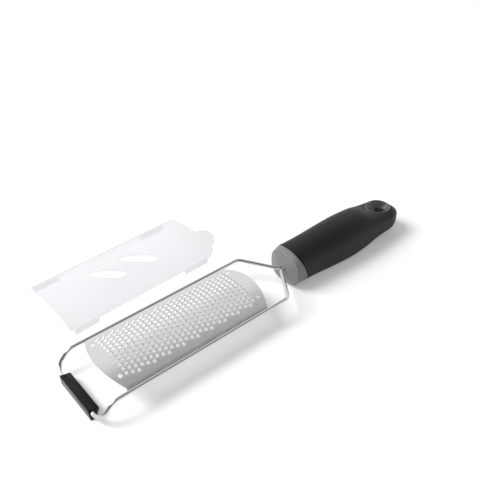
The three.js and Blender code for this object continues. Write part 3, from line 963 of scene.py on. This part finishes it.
@dataclass
class Handle:
    """The collar, the soft grip and the hanging eyelet."""

    layout: Layout
    stations: tuple[Station, ...] = (
        Station(0.0, 15.3, 32.0, 1.4, 2.2, 2.6),
        Station(22.0, 15.2, 31.8, 0.9, 2.2, 3.0),
        Station(61.0, 16.6, 32.6, 0.0, 2.2, 4.0),
        Station(80.0, 16.1, 31.2, 0.6, 2.3, 3.6),
        Station(93.0, 15.3, 27.0, 2.6, 2.9, 3.1),
        Station(107.0, 14.4, 24.1, 4.1, 3.5, 3.5),
    )
    sides: int = 72
    tail_length: float = 17.2
    tail_bluntness: float = 0.8
    tail_steps: int = 16
    collar_length: float = 9.0
    collar_crease: float = 45.0
    rear_tilt: float = 22.0
    tilt_fade: float = 40.0
    tongue_drop: float = 9.0
    tongue_rise: float = 2.0
    tongue_reach: float = 6.0
    tongue_r: float = 2.0
    face: Station = Station(0.0, 14.9, 27.6, 1.5, 2.8, 2.8)
    face_setback: float = 0.6
    dome_steps: int = 12
    rim_r: float = 0.6
    rim_steps: int = 6
    wall_steps: int = 6
    edge_r: float = 0.7
    edge_steps: int = 4
    grip_steps: int = 56
    grip_crease: float = 35.0
    eyelet_back: float = 106.6
    eyelet_lean: float = 12.0
    eyelet_half_length: float = 14.1
    eyelet_half_width: float = 8.9
    eyelet_hole_r: float = 4.8
    eyelet_shift: float = 3.6
    eyelet_wall: float = 1.3
    eyelet_depth: float = 5.2
    eyelet_bowl: float = 1.15
    eyelet_sink: float = 0.8
    eyelet_flare: float = 0.3
    eyelet_foot: float = 0.8
    eyelet_sides: int = 72
    eyelet_crease: float = 50.0
    dish_steps: int = 14
    bead_r: float = 0.7
    bead_steps: int = 8

    @property
    def seam_x(self) -> float:
        """Where the collar ends and the grip begins, at the handle's middle."""
        return self.layout.collar_face_x + self.collar_length

    @property
    def eyelet_x(self) -> float:
        """The middle of the eyelet's rim along the handle."""
        return self.layout.collar_face_x + self.eyelet_back

    @property
    def rim_z(self) -> float:
        """The height of the eyelet's rim at its middle."""
        return self.section(self.eyelet_x).top - self.eyelet_sink

    def section(self, x: float) -> Station:
        """Blends the stations smoothly.

        Args:
            x: The place along the handle.

        Returns:
            The section there.
        """
        back = clamp(x - self.layout.collar_face_x, 0.0, self.stations[-1].back)
        i = max(k for k, s in enumerate(self.stations[:-1]) if s.back <= back)
        a, b = self.stations[i:i + 2]
        span = b.back - a.back
        t = (back - a.back) / span
        values = []
        for p, q, m, n in zip(astuple(a), astuple(b), self.slopes(i), self.slopes(i + 1)):
            values.append(
                (2 * t ** 3 - 3 * t ** 2 + 1) * p
                + (t ** 3 - 2 * t ** 2 + t) * (m * span)
                + (3 * t ** 2 - 2 * t ** 3) * q
                + (t ** 3 - t ** 2) * (n * span)
            )
        return Station(*values)

    def slopes(self, i: int) -> list[float]:
        """How fast each value changes at a station: the mean of the slopes on its two sides.

        Args:
            i: The station's number.

        Returns:
            The slopes, in the order of the station's values.
        """
        last = len(self.stations) - 1
        slopes = []
        for low in (max(i - 1, 0), min(i, last - 1)):
            a, b = self.stations[low:low + 2]
            slopes.append([(q - p) / (b.back - a.back) for p, q in zip(astuple(a), astuple(b))])
        return [(before + after) / 2 for before, after in zip(*slopes)]

    def ring(
        self, x: float, section: Station, inset: float = 0.0, scale: float = 1.0, tilt: float = 0.0
    ) -> Ring:
        """Gives one ring of the handle as a function of the angle round it.

        Args:
            x: The ring's place along the handle.
            section: The section to draw.
            inset: How far the ring is drawn in.
            scale: Its size about the section's middle.
            tilt: The share of the collar's tilt that it takes.

        Returns:
            A function from angle to place.
        """
        middle, high = (section.top + section.base) / 2, (section.top - section.base) / 2

        def at(angle: float) -> Vector:
            """Gives the ring's place at an angle.

            Args:
                angle: The angle round the ring, up from the far side.

            Returns:
                The place.
            """
            c, s = math.cos(angle), math.sin(angle)
            square = section.square if s > 0 else section.under
            y = squared(c, square) * (section.half - inset) * scale
            z = squared(s, square) * (high - inset) * scale
            return Vector((x - self.forward(z) * tilt, y, middle + z))

        return at

    def forward(self, z: float) -> float:
        """How far the collar's seam comes forward: at the top, and again below its side tongues.

        Args:
            z: The height above the handle's middle.

        Returns:
            The way forward from the seam's place at the middle.
        """
        lean = math.tan(math.radians(self.rear_tilt))
        above = z * lean
        foot = self.tongue_drop * (1 + lean / self.tongue_rise)
        below = self.tongue_reach * math.tanh(-self.tongue_rise * (z + foot) / self.tongue_reach)
        return (above + below + math.hypot(above - below, self.tongue_r)) / 2

    def build_collar(self) -> BMesh:
        """Draws the collar from the middle of its domed face back to its tilted rear edge.

        Returns:
            The mesh, in millimetres.
        """
        tip_x, rim_x = self.layout.collar_tip_x, self.layout.collar_face_x + self.face_setback
        wall_x = rim_x + self.rim_r
        face, seam = self.face, self.section(self.seam_x)
        steps = []
        for k in range(1, self.dome_steps + 1):
            share = k / self.dome_steps
            steps.append(self.ring(tip_x + (rim_x - tip_x) * share ** 2, face, self.rim_r, share))
        for k in range(1, self.rim_steps + 1):
            turn = quarter(k, self.rim_steps)
            inset = self.rim_r * (1 - math.sin(turn))
            steps.append(self.ring(rim_x + self.rim_r * (1 - math.cos(turn)), face, inset))
        for k in range(1, self.wall_steps + 1):
            share = k / self.wall_steps
            between = Station(*(a + (b - a) * share for a, b in zip(astuple(face), astuple(seam))))
            steps.append(self.ring(wall_x + (self.seam_x - wall_x) * share, between, tilt=share))
        bm = loft(self.sides, steps)
        sharpen(bm, self.collar_crease)
        return bm

    def build_grip(self) -> BMesh:
        """Draws the grip from its rounded front edge to its tail and cuts the eyelet's seat.

        Returns:
            The mesh, in millimetres.
        """
        front = self.seam_x + self.layout.fit
        start = front + self.edge_r
        hang = self.layout.collar_face_x + self.stations[-1].back
        steps = []
        for k in range(self.edge_steps + 1):
            turn = quarter(k, self.edge_steps)
            x = front + self.edge_r * (1 - math.cos(turn))
            steps.append(self.ring(x, self.section(x), self.edge_r * (1 - math.sin(turn)), tilt=1.0))
        for k in range(1, self.grip_steps + 1):
            x = start + (hang - start) * k / self.grip_steps
            fade = max(0.0, 1 - (x - start) / self.tilt_fade)
            steps.append(self.ring(x, self.section(x), tilt=fade))
        for k in range(1, self.tail_steps):
            turn = quarter(k, self.tail_steps)
            scale = math.cos(turn) ** self.tail_bluntness
            x = hang + self.tail_length * math.sin(turn)
            steps.append(self.ring(x, self.stations[-1], scale=scale))
        bm = carve(loft(self.sides, steps), self.build_seat())
        sharpen(bm, self.grip_crease)
        return bm

    def eyelet_ring(self, halves: tuple[float, float], x: float, z: float, lean: float) -> Ring:
        """Gives one ring of the eyelet as a function of the angle round it.

        Args:
            halves: The ring's half length along the handle and its half width across it.
            x: Its middle along the handle.
            z: Its middle's height.
            lean: How far it leans, in radians.

        Returns:
            A function from angle to place.
        """

        def at(angle: float) -> Vector:
            """Gives the ring's place at an angle."""
            along, across = halves[0] * math.cos(angle), halves[1] * math.sin(angle)
            return Vector((x + along * math.cos(lean), across, z - along * math.sin(lean)))

        return at

    def dish(self, grow: float) -> list[Ring]:
        """Gives the dish's rings from the hole up to the rim.

        Args:
            grow: How far outside the dish's own face they lie.

        Returns:
            The rings.
        """
        hole, rim = self.eyelet_hole_r + grow, self.rim_halves(grow)
        rings = []
        for k in range(self.dish_steps + 1):
            share = k / self.dish_steps
            rings.append(self.eyelet_ring(
                (hole + (rim[0] - hole) * share, hole + (rim[1] - hole) * share),
                self.eyelet_x + self.eyelet_shift * (1 - share),
                self.rim_z - self.eyelet_depth * (1 - share ** self.eyelet_bowl),
                math.radians(self.eyelet_lean) * share,
            ))
        return rings

    def hole_ring(self, grow: float, z: float) -> Ring:
        """Gives a level ring of the eyelet's hole at a height."""
        radius = self.eyelet_hole_r + grow
        return self.eyelet_ring((radius, radius), self.eyelet_x + self.eyelet_shift, z, 0.0)

    def rim_halves(self, grow: float) -> tuple[float, float]:
        """Gives the oval rim's half length and half width, grown outwards from its inner edge."""
        outward = grow - self.eyelet_wall
        return self.eyelet_half_length + outward, self.eyelet_half_width + outward

    def over_rim(self, grow: float, above: float) -> Ring:
        """Gives a leaning ring of the rim's size.

        Args:
            grow: How far outside the rim's inner edge it lies.
            above: Its height above the rim.

        Returns:
            The ring.
        """
        lean = math.radians(self.eyelet_lean)
        x, z = self.eyelet_x + above * math.sin(lean), self.rim_z + above * math.cos(lean)
        return self.eyelet_ring(self.rim_halves(grow), x, z, lean)

    def build_seat(self) -> BMesh:
        """Draws the solid that opens the grip for the eyelet.

        Returns:
            The mesh, in millimetres.
        """
        grow = self.eyelet_wall + self.layout.fit
        deep = self.stations[-1].top
        return loft(self.eyelet_sides, [
            self.hole_ring(grow, -deep),
            *self.dish(grow),
            self.over_rim(grow + self.eyelet_flare * deep, deep),
        ])

    def build_eyelet(self) -> BMesh:
        """Draws the eyelet's wall: up its outside, over a rolled rim and down its inside.

        Returns:
            The mesh, in millimetres.
        """
        foot = self.section(self.eyelet_x).base + self.eyelet_foot
        roll = []
        for k in range(1, self.bead_steps):
            turn = k / self.bead_steps * math.pi
            across = self.eyelet_wall * (1 + math.cos(turn)) / 2
            roll.append(self.over_rim(across, self.bead_r * math.sin(turn)))
        bm = bmesh.new()
        first, last = sweep(bm, self.eyelet_sides, [
            self.hole_ring(self.eyelet_wall, foot),
            *self.dish(self.eyelet_wall),
            *roll,
            *reversed(self.dish(0.0)),
            self.hole_ring(0.0, foot),
        ])
        bmesh.ops.bridge_loops(bm, edges=first + last)
        turn_out(bm)
        sharpen(bm, self.eyelet_crease)
        return bm

    def deliver(self) -> list[Thing]:
        """Builds and dresses the handle's pieces and dresses the hidden core.

        Returns:
            The finished pieces.
        """
        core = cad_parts["handle_core"]
        core.data.materials.clear()
        core.data.materials.append(CORE_PLASTIC.material())
        pieces = (
            ("grey_collar", self.build_collar(), COLLAR_PLASTIC, "collar_plastic", "handle_collar"),
            ("soft_grip", self.build_grip(), GRIP_RUBBER, "grip_rubber", "handle_grip"),
            ("dished_eyelet", self.build_eyelet(), EYELET_PLASTIC, "eyelet_plastic", "hang_eyelet"),
        )
        return [
            deliver(name, bm, finish, Body.GRATER, node) for name, bm, finish, slot, node in pieces
        ]


# The cover


@dataclass(frozen=True)
class Clip:
    """A stretch of the cover's edge that is turned down and in under the rails."""

    start: float
    end: float


@dataclass
class Cover:
    """The arched translucent cover with its slots, pull tab and four clips."""

    middle: tuple[float, float] = (89.7, 84.75)
    turn: float = 2.0
    length: float = 133.8
    width: float = 61.5
    sheet: float = 1.2
    rise: float = 4.6
    clip_height: float = 5.4
    clip_t: float = 1.1
    lip: float = 1.2
    lip_t: float = 1.0
    clips: tuple[Clip, ...] = (Clip(-63.9, -43.9), Clip(33.9, 56.9))
    corner_r: float = 4.0
    cut_corner_r: float = 11.0
    tab_length: float = 9.0
    tab_width: float = 21.0
    tab_shift: float = -12.0
    tab_r: float = 5.5
    tab_root_r: float = 1.375
    slot_length: float = 28.5
    slot_width: float = 8.8
    slot_spacing: float = 28.7
    slot_shift: float = -2.2
    slot_across: float = 1.2
    slot_turn: float = -42.0
    slot_square: float = 2.6
    slot_sides: int = 48
    round_steps: int = 8
    arch_cuts: int = 24
    crease: float = 35.0

    @property
    def wall(self) -> float:
        """How far out the clips' inner faces lie."""
        return self.width / 2 - self.clip_t

    def outline(self) -> list[tuple[Vector, float]]:
        """Draws up the cover's outline.

        Returns:
            The plan's corners with their radii.
        """
        front, rear, side = -self.length / 2, self.length / 2, self.width / 2
        tip, taper = rear + self.tab_length, self.tab_length / 2
        far, near = self.tab_shift + self.tab_width / 2, self.tab_shift - self.tab_width / 2
        plan = (
            (front, -side, self.corner_r),
            (rear, -side, self.cut_corner_r),
            (rear, near, self.tab_root_r),
            (tip, near + taper, self.tab_r),
            (tip, far - taper, self.tab_r),
            (rear, far, self.tab_root_r),
            (rear, side, self.corner_r),
            (front, side, self.corner_r),
        )
        return [(Vector((x, y, 0.0)), r) for x, y, r in plan]

    def draw_plan(self, bm: BMesh) -> None:
        """Draws the flat plan with rounded corners and both slots open.

        Args:
            bm: The mesh that gets the plan.
        """
        corners = self.outline()
        ways = [at for at, _ in corners]
        loop = [bm.verts.new(at) for at in ways]
        bm.faces.new(loop)
        for i, vert in enumerate(loop):
            before = (ways[i - 1] - ways[i]).normalized()
            after = (ways[(i + 1) % len(ways)] - ways[i]).normalized()
            reach = corners[i][1] / math.tan(before.angle(after) / 2)
            round_off(bm, [vert], "VERTICES", reach, self.round_steps)
        bmesh.ops.delete(bm, geom=bm.faces[:], context="FACES_ONLY")
        swing = Matrix.Rotation(math.radians(self.slot_turn), 4, "Z")
        for way in (-1, 1):
            ring = bmesh.ops.create_circle(bm, segments=self.slot_sides, radius=1.0)["verts"]
            for vert in ring:
                vert.co.x = squared(vert.co.x, self.slot_square) * self.slot_length / 2
                vert.co.y = squared(vert.co.y, self.slot_square) * self.slot_width / 2
            shift = Vector((self.slot_shift + way * self.slot_spacing / 2, self.slot_across, 0.0))
            bmesh.ops.transform(bm, matrix=Matrix.Translation(shift) @ swing, verts=ring)
        bmesh.ops.triangle_fill(
            bm, use_beauty=True, use_dissolve=False, edges=bm.edges[:], normal=(0.0, 0.0, 1.0)
        )

    def slice(self, bm: BMesh, at: float, normal: Triple) -> None:
        """Cuts the plan along a straight line at a distance from the middle, without parting it."""
        parts = bm.verts[:] + bm.edges[:] + bm.faces[:]
        bmesh.ops.bisect_plane(bm, geom=parts, dist=CUT, plane_co=Vector(normal) * at, plane_no=normal)

    def arch_z(self, y: float) -> float:
        """The height of the arch's top face at a place across it."""
        return self.clip_height + arc_height(y, self.width / 2, self.rise)

    def turn_down(self, bm: BMesh, clip: Clip, side: Side) -> None:
        """Draws one clip down from the sheet's edge and turns its lip in.

        Args:
            bm: The arched sheet with its thickness.
            clip: The stretch of edge.
            side: The long edge.
        """
        way = side.value

        def pick(test: Callable[[Vector, Vector], bool]) -> list[BMFace]:
            """Gives the clip's faces whose middle and normal pass a test."""
            middles = [(face, face.calc_center_median()) for face in bm.faces]
            return [f for f, at in middles if clip.start < at.x < clip.end and test(at, f.normal)]

        faces = pick(lambda at, normal: normal.z < DOWN and at.y * way > self.wall)
        for level in (self.lip_t, 0.0):
            faces = extrude_faces(bm, faces)
            for vert in points_of(faces):
                vert.co.z = level
        bm.normal_update()
        faces = pick(lambda at, _: at.z < self.lip_t and abs(at.y * way - self.wall) < TOUCH)
        lip = points_of(extrude_faces(bm, faces))
        bmesh.ops.translate(bm, verts=lip, vec=(0.0, -way * self.lip, 0.0))

    def build(self) -> BMesh:
        """Draws, arches and thickens the sheet, turns its clips down and lays it in its place.

        Returns:
            The mesh, in millimetres.
        """
        bm = bmesh.new()
        self.draw_plan(bm)
        half = self.width / 2
        for k in range(1, self.arch_cuts):
            self.slice(bm, -half + self.width * k / self.arch_cuts, (0.0, 1.0, 0.0))
        for side in Side:
            self.slice(bm, side.value * self.wall, (0.0, 1.0, 0.0))
        for clip in self.clips:
            self.slice(bm, clip.start, (1.0, 0.0, 0.0))
            self.slice(bm, clip.end, (1.0, 0.0, 0.0))
        for vert in bm.verts:
            vert.co.z = self.arch_z(clamp(vert.co.y, -half, half))
        turn_out(bm)
        if sum(f.normal.z for f in bm.faces) < 0:
            bmesh.ops.reverse_faces(bm, faces=bm.faces[:])
        bmesh.ops.solidify(bm, geom=bm.faces[:], thickness=self.sheet)
        bm.normal_update()
        for clip in self.clips:
            for side in Side:
                self.turn_down(bm, clip, side)
        turn_out(bm)
        sharpen(bm, self.crease)
        swing = Matrix.Rotation(math.radians(self.turn), 4, "Z")
        place = Matrix.Translation((*self.middle, 0.0)) @ swing
        bmesh.ops.transform(bm, matrix=place, verts=bm.verts[:])
        return bm

    def deliver(self) -> list[Thing]:
        """Builds and dresses the cover, whose milky film scatters light on and leaves no shadow.

        Returns:
            The finished cover.
        """
        cover = deliver(
            "clip_on_cover", self.build(), COVER_PLASTIC, Body.COVER, "blade_cover"
        )
        cover.visible_shadow = False
        return [cover]


# The studio


def aim(name: str, data: bpy.types.ID, place: Triple, target: Triple) -> Thing:
    """Puts a lamp or a camera in the scene, aimed at a point.

    Args:
        name: The object's name.
        data: The lamp or the camera.
        place: Where it hangs.
        target: The point that it faces.

    Returns:
        The object.
    """
    thing = bpy.data.objects.new(name, data)
    thing.location = place
    way = Vector(target) - Vector(place)
    thing.rotation_euler = way.to_track_quat("-Z", "Y").to_euler()
    bpy.context.scene.collection.objects.link(thing)
    return thing


@dataclass(frozen=True)
class SoftBox:
    """A large soft lamp aimed at a point on the table."""

    name: str
    place: Triple
    target: Triple
    size: float
    watts: float

    def hang(self) -> None:
        """Puts the lamp in the scene."""
        lamp = bpy.data.lights.new(self.name, "AREA")
        lamp.shape, lamp.size, lamp.energy = "SQUARE", self.size, self.watts
        aim(self.name, lamp, self.place, self.target)


@dataclass(frozen=True)
class Gap:
    """A part of the surround that stays dark and that bright metal shows as shade."""

    way: Triple
    level: float
    edge: tuple[float, float]


@dataclass
class Studio:
    """A white table, a white surround with dark gaps in it, a soft lamp and the camera, in metres."""

    table_half: float = 4.0
    table_drop: float = 0.00005
    table_colour: str = "#f0f0f0"
    table_glow: float = 0.27
    white: Colour = (1.0, 1.0, 1.0, 1.0)
    bright_way: Triple = (-0.85, 0.5, 0.15)
    bright_level: float = 0.62
    gaps: tuple[Gap, ...] = (
        Gap((0.22, -0.12, 0.97), 0.47, (0.78, 0.98)),
        Gap((-0.7, -0.45, 0.55), 0.12, (0.5, 0.85)),
        Gap((0.32, -0.65, 0.69), 0.22, (0.86, 0.97)),
    )
    lamp: SoftBox = SoftBox("key_lamp", (-3.31, 2.62, 4.9), (0.14, 0.02, 0.0), 3.1, 340.0)
    lens: float = 49.486
    sensor: float = 36.0
    sight: tuple[float, float] = (0.01, 50.0)
    eye: Triple = (-0.0956, -0.2740, 0.3354)
    target: Triple = (0.18616, 0.06313, 0.0)

    def seen(self, tree: Tree) -> Socket:
        """Tells rays that show a surface, directly or in gloss or glass, from rays that light.

        Args:
            tree: The node tree that needs to know.

        Returns:
            A socket that is one for the rays that show it.
        """
        path = add_node(tree, "ShaderNodeLightPath").outputs
        shown = path["Is Camera Ray"]
        for name in ("Is Glossy Ray", "Is Transmission Ray"):
            links = {0: shown, 1: path[name]}
            shown = add_node(tree, "ShaderNodeMath", {"operation": "MAXIMUM"}, links).outputs[0]
        return shown

    def lay_table(self) -> None:
        """Lays the white table, which keeps the shadows on it."""
        bm = bmesh.new()
        bmesh.ops.create_grid(bm, x_segments=1, y_segments=1, size=self.table_half / MM)
        table = as_object("table", bm)
        material = bpy.data.materials.new("white_laminate")
        tree = blank_tree(material)
        matte = add_node(tree, "ShaderNodeBsdfDiffuse", {"Color": linear(self.table_colour)})
        product = {"operation": "MULTIPLY", 1: self.table_glow}
        glow = add_node(tree, "ShaderNodeMath", product, {0: self.seen(tree)}).outputs[0]
        light = add_node(tree, "ShaderNodeEmission", {"Color": self.white}, {"Strength": glow})
        links = {0: matte.outputs["BSDF"], 1: light.outputs["Emission"]}
        both = add_node(tree, "ShaderNodeAddShader", links=links)
        add_node(tree, "ShaderNodeOutputMaterial", links={"Surface": both.outputs["Shader"]})
        table.data.materials.append(material)
        table.location.z = -self.table_drop

    def facing(self, tree: Tree, way: Triple) -> Socket:
        """Tells how far each direction of the surround turns toward one way.

        Args:
            tree: The surround's node tree.
            way: The way to measure against.

        Returns:
            A socket that runs from minus one to one.
        """
        place = add_node(tree, "ShaderNodeTexCoord")
        product = {"operation": "DOT_PRODUCT", 1: Vector(way).normalized()}
        turn = add_node(tree, "ShaderNodeVectorMath", product, {0: place.outputs["Generated"]})
        return turn.outputs["Value"]

    def shade(self, tree: Tree) -> Socket:
        """Gives the surround's brightness: white to the camera, and with the gaps in it to gloss.

        Args:
            tree: The surround's node tree.

        Returns:
            A socket with the brightness.
        """
        parts = []
        for gap in self.gaps:
            fall = {
                "interpolation_type": "SMOOTHSTEP",
                "From Min": gap.edge[0],
                "From Max": gap.edge[1],
                "To Min": 1.0,
                "To Max": gap.level,
            }
            part = add_node(tree, "ShaderNodeMapRange", fall, {"Value": self.facing(tree, gap.way)})
            parts.append(part.outputs["Result"])
        product = {"operation": "MULTIPLY"}
        gapped = reduce(
            lambda one, two: add_node(tree, "ShaderNodeMath", product, {0: one, 1: two}).outputs[0], parts
        )
        path = add_node(tree, "ShaderNodeLightPath")
        links = {0: gapped, 1: path.outputs["Is Camera Ray"]}
        return add_node(tree, "ShaderNodeMath", {"operation": "MAXIMUM"}, links).outputs[0]

    def paint_room(self) -> None:
        """Paints the surround: brighter on the lamp's side, and with dark gaps in what metal shows."""
        world = bpy.data.worlds.new("studio_room")
        bpy.context.scene.world = world
        tree = blank_tree(world)
        span = {"From Min": -1.0, "To Max": self.bright_level}
        turned = self.facing(tree, self.bright_way)
        level = add_node(tree, "ShaderNodeMapRange", span, {"Value": turned})
        light, shown = (
            add_node(tree, "ShaderNodeBackground", {"Color": self.white}, {"Strength": strength})
            for strength in (level.outputs["Result"], self.shade(tree))
        )
        links = {0: self.seen(tree), 1: light.outputs["Background"], 2: shown.outputs["Background"]}
        choose = add_node(tree, "ShaderNodeMixShader", links=links)
        add_node(tree, "ShaderNodeOutputWorld", links={"Surface": choose.outputs["Shader"]})

    def set_camera(self) -> None:
        """Sets the camera up at the photograph's viewing angle."""
        camera = bpy.data.cameras.new("camera")
        camera.lens, camera.sensor_width = self.lens, self.sensor
        camera.clip_start, camera.clip_end = self.sight
        bpy.context.scene.camera = aim("camera", camera, self.eye, self.target)

    def build(self) -> None:
        """Sets up the whole studio."""
        bpy.context.scene.view_settings.view_transform = "Standard"
        self.lay_table()
        self.paint_room()
        self.lamp.hang()
        self.set_camera()


def main() -> None:
    """Builds the studio, the grater and its cover in order and reports each piece."""
    logging.basicConfig(level=logging.INFO)
    layout = Layout()
    Studio().build()
    for assembly in (FrameWire(layout), Blade(layout), Foot(), Handle(layout), Cover()):
        for piece in assembly.deliver():
            log.info("%s: %d faces", piece.name, len(piece.data.polygons))


if __name__ == "__main__":
    main()
